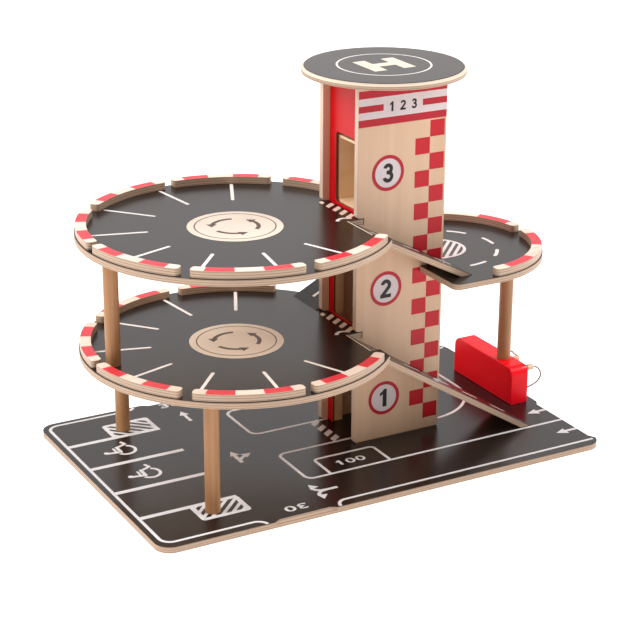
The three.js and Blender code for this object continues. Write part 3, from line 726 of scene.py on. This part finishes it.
    def digits(self, text, x, y, height, turn, stretch):
        """Plain numbers, centred on (x, y), turned by some degrees and stretched along their line."""
        known = set(self.bm.verts)
        curve = bpy.data.curves.new("digits", "FONT")
        curve.body, curve.size = text, 1.0
        curve.offset, curve.space_character = DIGIT_WEIGHT, DIGIT_SPACING
        written = bpy.data.objects.new("digits", curve)
        bpy.context.collection.objects.link(written)
        shaped = written.evaluated_get(bpy.context.evaluated_depsgraph_get())
        flat = bpy.data.meshes.new_from_object(shaped)
        bpy.data.objects.remove(written)
        low, high = (
            Vector([pick(v.co[axis] for v in flat.vertices) for axis in range(3)]) for pick in (min, max)
        )
        scale = height / (high.y - low.y)
        flat.transform(Matrix.Translation(-(low + high) / 2))
        flat.transform(Matrix.Diagonal((scale * stretch, scale, 1.0, 1.0)))
        flat.transform(Matrix.Translation((x, y, 0)) @ Matrix.Rotation(math.radians(turn), 4, "Z"))
        self.bm.from_mesh(flat)
        bpy.data.meshes.remove(flat)
        self.settle(known)

    def print(self, name, material, surface, level=0):
        """Gives the shapes their thickness and lays them on a surface, or on a print when level is 1."""
        bm = self.bm
        bmesh.ops.remove_doubles(bm, verts=bm.verts, dist=SHAPE_WELD)
        bmesh.ops.reverse_faces(bm, faces=[face for face in bm.faces if face.normal.z < 0])
        raised = bmesh.ops.extrude_face_region(bm, geom=bm.faces[:])
        tops = [part for part in raised["geom"] if isinstance(part, bmesh.types.BMVert)]
        bmesh.ops.translate(bm, verts=tops, vec=(0, 0, INK))
        bmesh.ops.recalc_face_normals(bm, faces=bm.faces)
        bm.transform(PLAN @ surface @ Matrix.Translation((0, 0, LIFT + level * (INK + LIFT))))
        piece(bm, name, material)


def floor_at(height):
    """A level surface, drawn from above."""
    return Matrix.Translation((0, 0, height))


FRONT = Matrix.Translation((0, TOWER_FRONT, 0)) @ Matrix.Rotation(math.pi / 2, 4, "X")


# Cords
CORD_THICKNESS = 2.0
CORD_SIDES = 12
ROUTE_STEPS = 10
LIFT_CORD_STEPS = 24

# Each hose from its hole to its nozzle's end: how far out from the pump's face, how far sideways from the
# nozzle, and how high
HOSE_ROUTES = {
    1: [
        (-3.7, 0, 17.5), (2, 0, 17.5), (8, 0, 18.5), (19.4, 0, 23.2), (24.4, 0, 31.75), (19.4, 0, 42),
        (13, 0, 45), (10, 0, 46), (8, 0, 46),
    ],
    2: [
        (-3.7, 0, 17.5), (2, 0, 17.5), (8, 7, 18.5), (11, 17, 24.9), (12, 25, 34.6), (12, 27, 44),
        (13, 22, 48.2), (13.5, 13.5, 46.55), (13, 3, 46), (10, 0, 46), (8, 0, 46),
    ],
}


def add_hose(number, material):
    """A pump hose: from its hole in the pump, in a loop past the board's edge and into its nozzle."""
    face = plan_box("pump_block")[1].x
    nozzle_low, nozzle_high = plan_box(f"nozzle_{number}")
    middle = (nozzle_low.y + nozzle_high.y) / 2
    route = HOSE_ROUTES[number]
    knots = [place(face + out, middle + aside, height) for out, aside, height in route]
    path = smooth_route(knots, ROUTE_STEPS)
    hose = tube(f"hose_{number}_cord", path, CORD_THICKNESS / 2 * MM, material)
    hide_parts(f"hose_{number}")
    length = sum((b - a).length for a, b in zip(path, path[1:]))
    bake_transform(hose)


def smooth_route(knots, steps):
    """Points on one smooth curve through the knots, whose bends follow the knots' own spacing."""
    ends = [2 * knots[0] - knots[1], *knots, 2 * knots[-1] - knots[-2]]
    times = [0.0]
    for a, b in zip(ends, ends[1:]):
        times.append(times[-1] + (b - a).length ** 0.5)
    path = [knots[0]]
    for i in range(1, len(ends) - 2):
        p0, p1, p2, p3 = ends[i - 1 : i + 3]
        t0, t1, t2, t3 = times[i - 1 : i + 3]
        for step in range(1, steps + 1):
            t = t1 + (t2 - t1) * step / steps
            a1 = p0.lerp(p1, (t - t0) / (t1 - t0))
            a2 = p1.lerp(p2, (t - t1) / (t2 - t1))
            a3 = p2.lerp(p3, (t - t2) / (t3 - t2))
            b1 = a1.lerp(a2, (t - t0) / (t2 - t0))
            b2 = a2.lerp(a3, (t - t1) / (t3 - t1))
            path.append(b1.lerp(b2, (t - t1) / (t2 - t1)))
    return path


def tube(name, path, radius, material):
    """A round tube along a path, closed at both ends."""
    bm = bmesh.new()
    rings = []
    for i, spot in enumerate(path):
        along = (path[min(i + 1, len(path) - 1)] - path[max(i - 1, 0)]).normalized()
        turned = along.to_track_quat("Z", "X").to_matrix().to_4x4()
        ring = bmesh.ops.create_circle(
            bm, cap_ends=i in (0, len(path) - 1), radius=radius, segments=CORD_SIDES,
            matrix=Matrix.Translation(spot) @ turned,
        )
        rings.append({edge for vert in ring["verts"] for edge in vert.link_edges})
    for first, second in zip(rings, rings[1:]):
        bmesh.ops.bridge_loops(bm, edges=[*first, *second])
    bmesh.ops.recalc_face_normals(bm, faces=bm.faces)
    for face in bm.faces:
        face.smooth = len(face.verts) == 4
    mesh = bpy.data.meshes.new(name)
    bm.to_mesh(mesh)
    bm.free()
    mesh.materials.append(material)
    made = bpy.data.objects.new(name, mesh)
    bpy.context.collection.objects.link(made)
    return made


def add_lift_cord(material):
    """The lift's taut cord, from the bead to the drum."""
    low, high = plan_box("lift_cord")
    x, y = (low.x + high.x) / 2, (low.y + high.y) / 2
    rise = high.z - low.z
    path = [place(x, y, low.z + rise * i / LIFT_CORD_STEPS) for i in range(LIFT_CORD_STEPS + 1)]
    line = tube("lift_cord_line", path, CORD_THICKNESS / 2 * MM, material)
    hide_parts("lift_cord")
    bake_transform(line)


def add_cords(material):
    """The two pump hoses and the lift's cord."""
    for number in (1, 2):
        add_hose(number, material)
    add_lift_cord(material)


# The middle of each curb, in degrees round its deck
CURB_MIDDLES = {
    "lower": {
        "back": 67.5, "back_left": 112.5, "left_back": 159.9, "left_front": 203.3, "front_left": 248.2,
        "front_right": 291.5,
    },
    "upper": {
        "back": 69.4, "back_left": 113.3, "left_back": 161.0, "left_front": 203.8, "front_left": 248.4,
        "front_right": 293.25,
    },
}
SIDE_CURB_MIDDLES = {"front": -47.0, "back": 44.7}
TOWER_CURB_MIDDLE = 36.2
# Where their red patches start and end, in degrees on both sides of the middle
DECK_PATCH = (5.1, 15.4)
SIDE_PATCH = (11.3, 33.8)
TOWER_PATCH = (-1, 5.1)

BOARD = 8.0  # thickness of the decks and the base
RAMP_BOARD = 7.5
PAD_RIM_SHARE = 0.75


def dress_all():
    """Gives every CAD node but the cords its finish and its eased edges."""
    board_tops = {
        "base_board": 0, "lower_deck": LOWER_TOP, "upper_deck": UPPER_TOP, "side_deck": SIDE_TOP,
        "helipad": PAD_TOP,
    }
    for node, top in board_tops.items():
        shape = slant_exits if node == "base_board" else None
        pale_rim = PAD_RIM_SHARE if node == "helipad" else 0.0
        dressed(node, laminated(f"{node}_laminate", top, BOARD, pale_rim=pale_rim), shape=shape)
    for node, downhill in {"upper_ramp": 1, "lower_ramp": 1, "back_ramp": -1}.items():
        low, high = plan_box(node)
        slope = math.atan2(high.z - low.z, high.x - low.x) * downhill
        foot = (high.x, low.z) if downhill > 0 else (low.x, low.z)
        dressed(node, laminated(f"{node}_laminate", 0, RAMP_BOARD, slope, foot), edge=0.3)

    for node in ("front_panel", "back_panel"):
        low, high = plan_box(node)
        dressed(node, panelled(f"{node}_wood", low.y, high.y))
    red = painted("red_paint", RED_PAINT, RED_DEEP)
    for node in ("pump_block", "crank_knob"):
        dressed(node, red, edge=0.3)
    red_board = painted("red_board_paint", RED_WALL, RED_WALL_DEEP, roughness=0.34, bare_edges=True)
    for node in ("left_wall", "right_wall"):
        dressed(node, red_board, edge=0.3)

    beech = wood("turned_beech", BEECH_LIGHT, BEECH_DARK, along=2, roughness=0.42)
    beech_pale = wood("beech_pale", NOZZLE_LIGHT, NOZZLE_DARK, along=0, roughness=0.38)
    beech_deep = wood("beech_deep", BEECH_LIGHT, BEECH_DARK, along=1, roughness=0.42)
    for node in ("front_post", "back_post", "upper_post", "pump_post", "lift_bead", "winch_crank"):
        dressed(node, beech, edge=0.3)
    for node in ("nozzle_1", "nozzle_2"):
        dressed(node, beech_pale, edge=0.2)
    dressed("winch_axle", beech_deep, edge=0.3)
    pine = wood("pale_pine", PINE_LIGHT, PINE_DARK, along=2, figure=0.5)
    pine_across = wood("pale_pine_across", PINE_LIGHT, PINE_DARK, along=0, figure=0.4)
    cabin = wood("pale_cabin", CABIN_LIGHT, CABIN_DARK, along=2, figure=0.5)
    cabin_across = wood("pale_cabin_across", CABIN_LIGHT, CABIN_DARK, along=0, figure=0.4)
    for node in ("front_left_strip", "back_left_strip", "front_right_strip", "back_right_strip"):
        dressed(node, pine, edge=0.4)
    dressed("lift_end", cabin, edge=0.4)
    for node in ("lift_floor", "lift_roof", "lift_front_side", "lift_back_side"):
        dressed(node, cabin_across, edge=0.3)
    dressed("winch_drum", pine_across, edge=0.3)
    steel = zinc("zinc_screw")
    for number in range(1, 9):
        dressed(f"screw_{number}", steel, edge=0.15)

    for deck, middles in CURB_MIDDLES.items():
        for spot, middle in middles.items():
            node = f"{deck}_curb_{spot}"
            dressed(node, curbed(node, DECK_X, middle, *DECK_PATCH))
    tower_curb = curbed("upper_curb_tower", DECK_X, TOWER_CURB_MIDDLE, *TOWER_PATCH)
    dressed("upper_curb_tower", tower_curb)
    for spot, middle in SIDE_CURB_MIDDLES.items():
        node = f"side_curb_{spot}"
        dressed(node, curbed(node, SIDE_X, middle, *SIDE_PATCH))


# Markings. Plain numbers in these functions are places and lengths in plan millimetres, and degrees.

LANE_LINE = 4
BAY_LINE = 7
BAY_LEFT, BAY_RIGHT = 8.5, 134.0
BAY_PLACES = (81.3, 154.5, 229.0, 301.8)
ARROW_STEM = 5
ARROW_BRANCH = 4.5
BOX_STRIPE = 4.3
BOX_PITCH = 9.3  # from one stripe of a hatched box to the next
BLOCK_PITCH = 17  # from one block of the crossing to the next


def mark_base(white):
    """The lanes, bays, arrows and signs on the base board."""
    ink = Ink()
    # the line along the left and back edges, with its ways in and out
    edge_moves = [(14, 78), 97.5, (14, -90), 331.5, (14, -90), 95.5, (15, 55)]
    ink.trail(133.69, 0.6, 102, edge_moves, LANE_LINE)
    # the line along the right half of the front and back edges
    ink.trail(230, 0.6, 90, [(13, -90), 361], LANE_LINE)
    ink.trail(230, 379.4, -90, [(13, 90), 361], LANE_LINE)
    # islands in front of the tower and to its left
    ink.trail(338, 308, 180, [96, (12, 90), 57, (12, 90), 96], LANE_LINE)
    ink.trail(338, 160, 180, [98, (10, 90), 59, (10, 90), 364], LANE_LINE)
    # the marked stand in front of the tower
    ink.trail(262, 81, 90, [39, (6, -90), 72, (6, -90), 39], LANE_LINE)
    # the lane round the pump
    ink.trail(456, 161.5, 0, [5.5, (84, 90), 55], LANE_LINE)
    for y in BAY_PLACES:
        ink.line(BAY_LEFT, y, BAY_RIGHT, y, BAY_LINE)
    # straight arrow
    ink.line(180, 304, 180, 326, ARROW_BRANCH)
    ink.head(180, 337, 90, 12, 6.5)
    # fork by the bays
    ink.trail(181.7, 161, 90, [23], ARROW_STEM)
    ink.head(182.4, 195.7, 90, 13, 6.4)
    ink.trail(183, 168, 60, [(18, -38), 3.5], ARROW_BRANCH)
    ink.head(203.3, 181, 20, 12, 6.4)
    # fork at the entrance
    ink.trail(251, 46.4, 180, [18], ARROW_STEM)
    for sign in (1, -1):
        ink.trail(236, 46.4 + sign * 0.6, 180, [3, (12, -sign * 70), 2], ARROW_BRANCH)
        ink.head(222, 46.4 + sign * 21.0, 180 - sign * 75, 12, 6.5)
    # arrows of the lanes on the right
    for y, tip in ((117, 576), (49, 573)):
        ink.line(tip + 13, y, 604, y, ARROW_STEM)
        ink.head(tip, y, 180, 15, 7.5)
    # crossing in front of the ground floor's lift door
    for i in range(4):
        y = 161 + BLOCK_PITCH * i
        ink.polygon([(311, y), (324, y + 9), (324, y + 19), (311, y + 10)])
    # hatched boxes
    ink.trail(73.2, 303, 90, [34.5, (2.3, -90), 53.4, (2.3, -90), 34.5], 5.5)
    back_box = [(75.9, 305.2), (128.5, 305.2), (128.5, 337.2), (75.9, 337.2)]
    ink.hatch(back_box, heading=-43, pitch=BOX_PITCH, width=BOX_STRIPE)
    ink.trail(74.3, 80, -90, [33.1, (2.2, 90), 53.3, (2.2, 90), 33.1], 6)
    front_box = [(77.2, 47.6), (129.1, 47.6), (129.1, 77.9), (77.2, 77.9)]
    ink.hatch(front_box, heading=44.5, pitch=BOX_PITCH, width=BOX_STRIPE, shift=0.5)
    for shift in (0, 75):
        wheelchair(ink, shift)
    ink.digits("30", 181.5, 21.8, height=13.6, turn=180, stretch=1.6)
    ink.digits("30", 177.5, 364.5, height=13.6, turn=0, stretch=1.6)
    # 100 in the marked stand
    ink.one(286.5, 103.5, 13, 1.2)
    ink.digits("00", 308.5, 103.5, height=13, turn=0, stretch=1.5)
    ink.print("base_markings", white, floor_at(0))


def wheelchair(ink, shift):
    """The common wheelchair sign, with its head towards the left edge."""
    ink.disc(45, 188.5 + shift, 3.3, 32)
    ink.line(46, 187 + shift, 62, 184 + shift, 4.5, capped=True)
    ink.line(57.4, 185 + shift, 57.4, 197 + shift, 3, capped=True)
    ink.line(62.8, 184 + shift, 62.8, 199 + shift, 4.5, capped=True)
    ink.line(62.8, 198.4 + shift, 74.8, 203.2 + shift, 4, capped=True)
    ink.line(73.6, 211 + shift, 76, 204.4 + shift, 4, capped=True)
    ink.arc(70, 187.5 + shift, 12.5, 65, -145, 4)


# The parking lines round each deck, in degrees, and the left feet of the blocks at its lift door
LANE_ANGLES = {
    "lower": (63.9, 96.1, 130.1, 164.1, 196.7, 228.5, 260.9, 293.5),
    "upper": (65.1, 96.7, 130.5, 164.3, 197.7, 229.5, 261.1, 293.3),
}
CROSSING_FEET = {"lower": (148.5, 165, 181, 197.5, 213), "upper": (150.5, 167, 183.5, 200, 217)}

PARKING_LINE = 4.2
PARKING_START, PARKING_END = 106, 171.5  # from the deck's middle
ISLAND_RADIUS = 57.5
RING_RADIUS = 48.5
RING_LINE = 1.5
TURN_RADIUS = 28
TURNS = ((72, 142), (195, 257), (-52, 17))  # where each arrow of the roundabout starts and ends
CROSSING_LEFT = 323
CROSSING_RIGHT = 336.5
BLOCK_WIDTH = 8.6
BLOCK_RISE_SHARE = 0.7  # how far a block climbs for its length
BLOCK_CORNER = 1.2
RAMP_LINE = 1.2  # bare line where a ramp meets its deck


def mark_deck(deck, top, white, cream, brown):
    """The roundabout and the parking lines on a round deck."""
    ink = Ink()
    for degrees in LANE_ANGLES[deck]:
        start = round_point(DECK_X, MIDDLE, PARKING_START, degrees)
        end = round_point(DECK_X, MIDDLE, PARKING_END, degrees)
        ink.line(*start, *end, PARKING_LINE, capped=True)
    # the short bent stroke in front of the tower
    ink.trail(306, 149, 50, [5, (9, -75), 8], ARROW_BRANCH)
    ink.print(f"{deck}_deck_lines", white, floor_at(top))

    island = Ink()
    island.disc(DECK_X, MIDDLE, ISLAND_RADIUS, 128)
    island.rectangle(NOTCH_X - 0.6 - RAMP_LINE, RAMP_FRONT, NOTCH_X - 0.6, TOWER_FRONT - 0.4)
    left = CROSSING_LEFT
    for i, y in enumerate(CROSSING_FEET[deck]):
        right = CROSSING_RIGHT if i < 4 else TOWER_LEFT - 0.6
        rise = (right - left) * BLOCK_RISE_SHARE
        block = [(left, y), (right, y + rise), (right, y + rise + BLOCK_WIDTH), (left, y + BLOCK_WIDTH)]
        island.polygon(block, BLOCK_CORNER)
    island.print(f"{deck}_deck_island", cream, floor_at(top))
    circle = Ink()
    circle.arc(DECK_X, MIDDLE, RING_RADIUS, 0, FULL_TURN, RING_LINE)
    circle.print(f"{deck}_deck_ring", brown, floor_at(top), 1)
    arrows = Ink()
    for start, end in TURNS:
        arrows.arc(DECK_X, MIDDLE, TURN_RADIUS, start, end, ARROW_STEM)
        tip = round_point(DECK_X, MIDDLE, TURN_RADIUS, end + 20)
        arrows.head(*tip, end + 104, 11, 6.5)
    arrows.print(f"{deck}_deck_arrows", brown, floor_at(top), 1)


SIDE_LEFT = 456  # where the side deck's markings start, by the tower
SIDE_LINE = 3.9
LOOP_X = 474  # middle of the hatched half-round
LOOP_RADIUS = 36
LOOP_INSIDE = 34
DASH_X = 476.7  # middle of the broken line round it
DASH_Y = MIDDLE - 2.8
DASH_RADIUS = 73.4
DASH_ANGLES = (-80.4, -40.5, -2, 39.7, 79.5)  # middle of each dash
DASH_HALF_ANGLE = 9
DASH_LINE = 4.5


def mark_side_deck(white):
    """A hatched half-round and a broken line round it."""
    ink = Ink()
    ink.arc(LOOP_X, MIDDLE, LOOP_RADIUS, -90, 90, SIDE_LINE)
    for y in (MIDDLE + LOOP_RADIUS, MIDDLE - LOOP_RADIUS):
        ink.line(SIDE_LEFT, y, LOOP_X, y, SIDE_LINE)
    edge = [round_point(LOOP_X, MIDDLE, LOOP_INSIDE, degrees) for degrees in range(-90, 91, 10)]
    outline = [(SIDE_LEFT, MIDDLE - LOOP_INSIDE), *edge, (SIDE_LEFT, MIDDLE + LOOP_INSIDE)]
    ink.hatch(outline, heading=46.5, pitch=8.5, width=4.2, shift=2.1)
    for middle in DASH_ANGLES:
        start, end = middle - DASH_HALF_ANGLE, middle + DASH_HALF_ANGLE
        ink.arc(DASH_X, DASH_Y, DASH_RADIUS, start, end, DASH_LINE, capped=True)
    ink.print("side_deck_markings", white, floor_at(SIDE_TOP))


RAMP_DASH = 26
RAMP_DASH_PITCH = 51.5
RAMP_DASH_WIDTH = 4.5


def mark_ramps(white):
    """The broken line along each ramp's middle."""
    for node, dashes in {"upper_ramp": 3, "lower_ramp": 5, "back_ramp": 3}.items():
        low, high = plan_box(node)
        slope = math.atan2(high.z - low.z, high.x - low.x)
        start, slope = (low.z, -slope) if node == "back_ramp" else (high.z, slope)
        top = Matrix.Translation((low.x, (low.y + high.y) / 2, start)) @ Matrix.Rotation(slope, 4, "Y")
        length = (high.x - low.x) / math.cos(slope)
        ink = Ink()
        for i in range(dashes):
            middle = length / 2 + (i - (dashes - 1) / 2) * RAMP_DASH_PITCH
            ink.line(middle - RAMP_DASH / 2, 0, middle + RAMP_DASH / 2, 0, RAMP_DASH_WIDTH)
        ink.print(f"{node}_line", white, top)


PAD_RING_RADIUS = 57
PAD_RING_LINE = 2.4
LANDING_BAR = 17  # width of the landing mark's two bars
LANDING_HALF_LENGTH = 27.5
LANDING_HALF_SPREAD = 20  # from the mark's middle to the middle of each bar
CROSSBAR_X, CROSSBAR_Y = 12, 7.5  # half the length and half the width of the bar between them


def mark_pad(white, pale):
    """A ring and the common landing mark."""
    circle = Ink()
    circle.arc(TOWER_X, MIDDLE, PAD_RING_RADIUS, 0, FULL_TURN, PAD_RING_LINE)
    circle.print("helipad_ring", white, floor_at(PAD_TOP))
    ink = Ink()
    low, high = MIDDLE - LANDING_HALF_LENGTH, MIDDLE + LANDING_HALF_LENGTH
    for x in (TOWER_X + LANDING_HALF_SPREAD, TOWER_X - LANDING_HALF_SPREAD):
        ink.rectangle(x - LANDING_BAR / 2, low, x + LANDING_BAR / 2, high)
    ink.rectangle(TOWER_X - CROSSBAR_X, MIDDLE - CROSSBAR_Y, TOWER_X + CROSSBAR_X, MIDDLE + CROSSBAR_Y)
    ink.print("helipad_mark", pale, floor_at(PAD_TOP))


BAND_LOW, BAND_HIGH = 416.5, 442  # the pale band under the helicopter pad
STRIPE_LOW, STRIPE_HIGH = 407.4, 451.4  # outer edges of the red stripes below and above it
BAND_MARGIN = 0.6
BAND_MIDDLE = 429
BAND_FIGURES = (376, 391.5, 407)
BAND_FIGURE_HEIGHT = 12
BAR_ENDS = ((330.6, 364.5), (419, 453.4))  # the red bars left and right of the figures
BAR_LOW, BAR_HIGH = 425.2, 433.1
CHECK = 20.589  # height of a checker
CHECK_WIDTH = 20.6
CHECK_TOP = 405.6
CHECK_ROWS = 19
CHECK_LEFTS = (430.6, 410.0)  # left edges of the checkers, by turns
SIGN_X = 372.3
SIGN_HEIGHTS = (54.0, 199.9, 347.4)
SIGN_RADIUS = 22.0
SIGN_RIM_RADIUS = 20.2
SIGN_RIM = 4.4
SIGN_FIGURE_HEIGHT = 24


def mark_tower(red, deep_red, grey, black):
    """The stripes, checkers and floor numbers on the tower's front."""
    left, right = TOWER_LEFT + BAND_MARGIN, TOWER_RIGHT - BAND_MARGIN
    field = Ink()
    field.rectangle(left, BAND_LOW, right, BAND_HIGH)
    field.print("sign_field", grey, FRONT)
    stripes = Ink()
    for low, high in ((BAND_HIGH, STRIPE_HIGH), (STRIPE_LOW, BAND_LOW)):
        stripes.rectangle(left, low, right, high)
    stripes.print("front_stripes", deep_red, FRONT)
    checkers = Ink()
    for row in range(CHECK_ROWS):
        top = CHECK_TOP - CHECK * row
        edge = CHECK_LEFTS[row % 2]
        checkers.rectangle(edge, top - CHECK, edge + CHECK_WIDTH, top)
    checkers.print("front_checkers", red, FRONT)
    bars = Ink()
    for start, end in BAR_ENDS:
        bars.rectangle(start, BAR_LOW, end, BAR_HIGH)
    signs, rims, numbers = Ink(), Ink(), Ink()
    figures = (numbers.one, numbers.two, numbers.three)
    for figure, x in zip(figures, BAND_FIGURES):
        figure(x, BAND_MIDDLE, BAND_FIGURE_HEIGHT)
    for figure, height in zip(figures, SIGN_HEIGHTS):
        signs.disc(SIGN_X, height, SIGN_RADIUS)
        rims.arc(SIGN_X, height, SIGN_RIM_RADIUS, 0, FULL_TURN, SIGN_RIM)
        figure(SIGN_X, height, SIGN_FIGURE_HEIGHT)
    signs.print("number_signs", grey, FRONT)
    bars.print("sign_bars", deep_red, FRONT, 1)
    rims.print("sign_rims", deep_red, FRONT, 1)
    numbers.print("floor_numbers", black, FRONT, 1)


def add_markings():
    """All prints, each colour with one material."""
    base_white = printed("base_white_print", BASE_WHITE)
    white = printed("white_print", PRINT_WHITE)
    grey = printed("grey_print", PRINT_GREY)
    red = printed("red_print", PRINT_RED, roughness=0.36)
    deep_red = printed("deep_red_print", PRINT_DEEP_RED, roughness=0.36)
    black = printed("black_print", PRINT_BLACK)
    brown = printed("brown_print", PRINT_BROWN)
    cream = printed("cream_print", PRINT_CREAM, roughness=0.36)
    mark_base(base_white)
    for deck, top in {"lower": LOWER_TOP, "upper": UPPER_TOP}.items():
        mark_deck(deck, top, white, cream, brown)
    mark_side_deck(white)
    mark_ramps(white)
    mark_pad(white, cream)
    mark_tower(red, deep_red, grey, black)


add_camera()
cord = braided("grey_cord")
dress_all()
add_cords(cord)
add_markings()
add_studio()
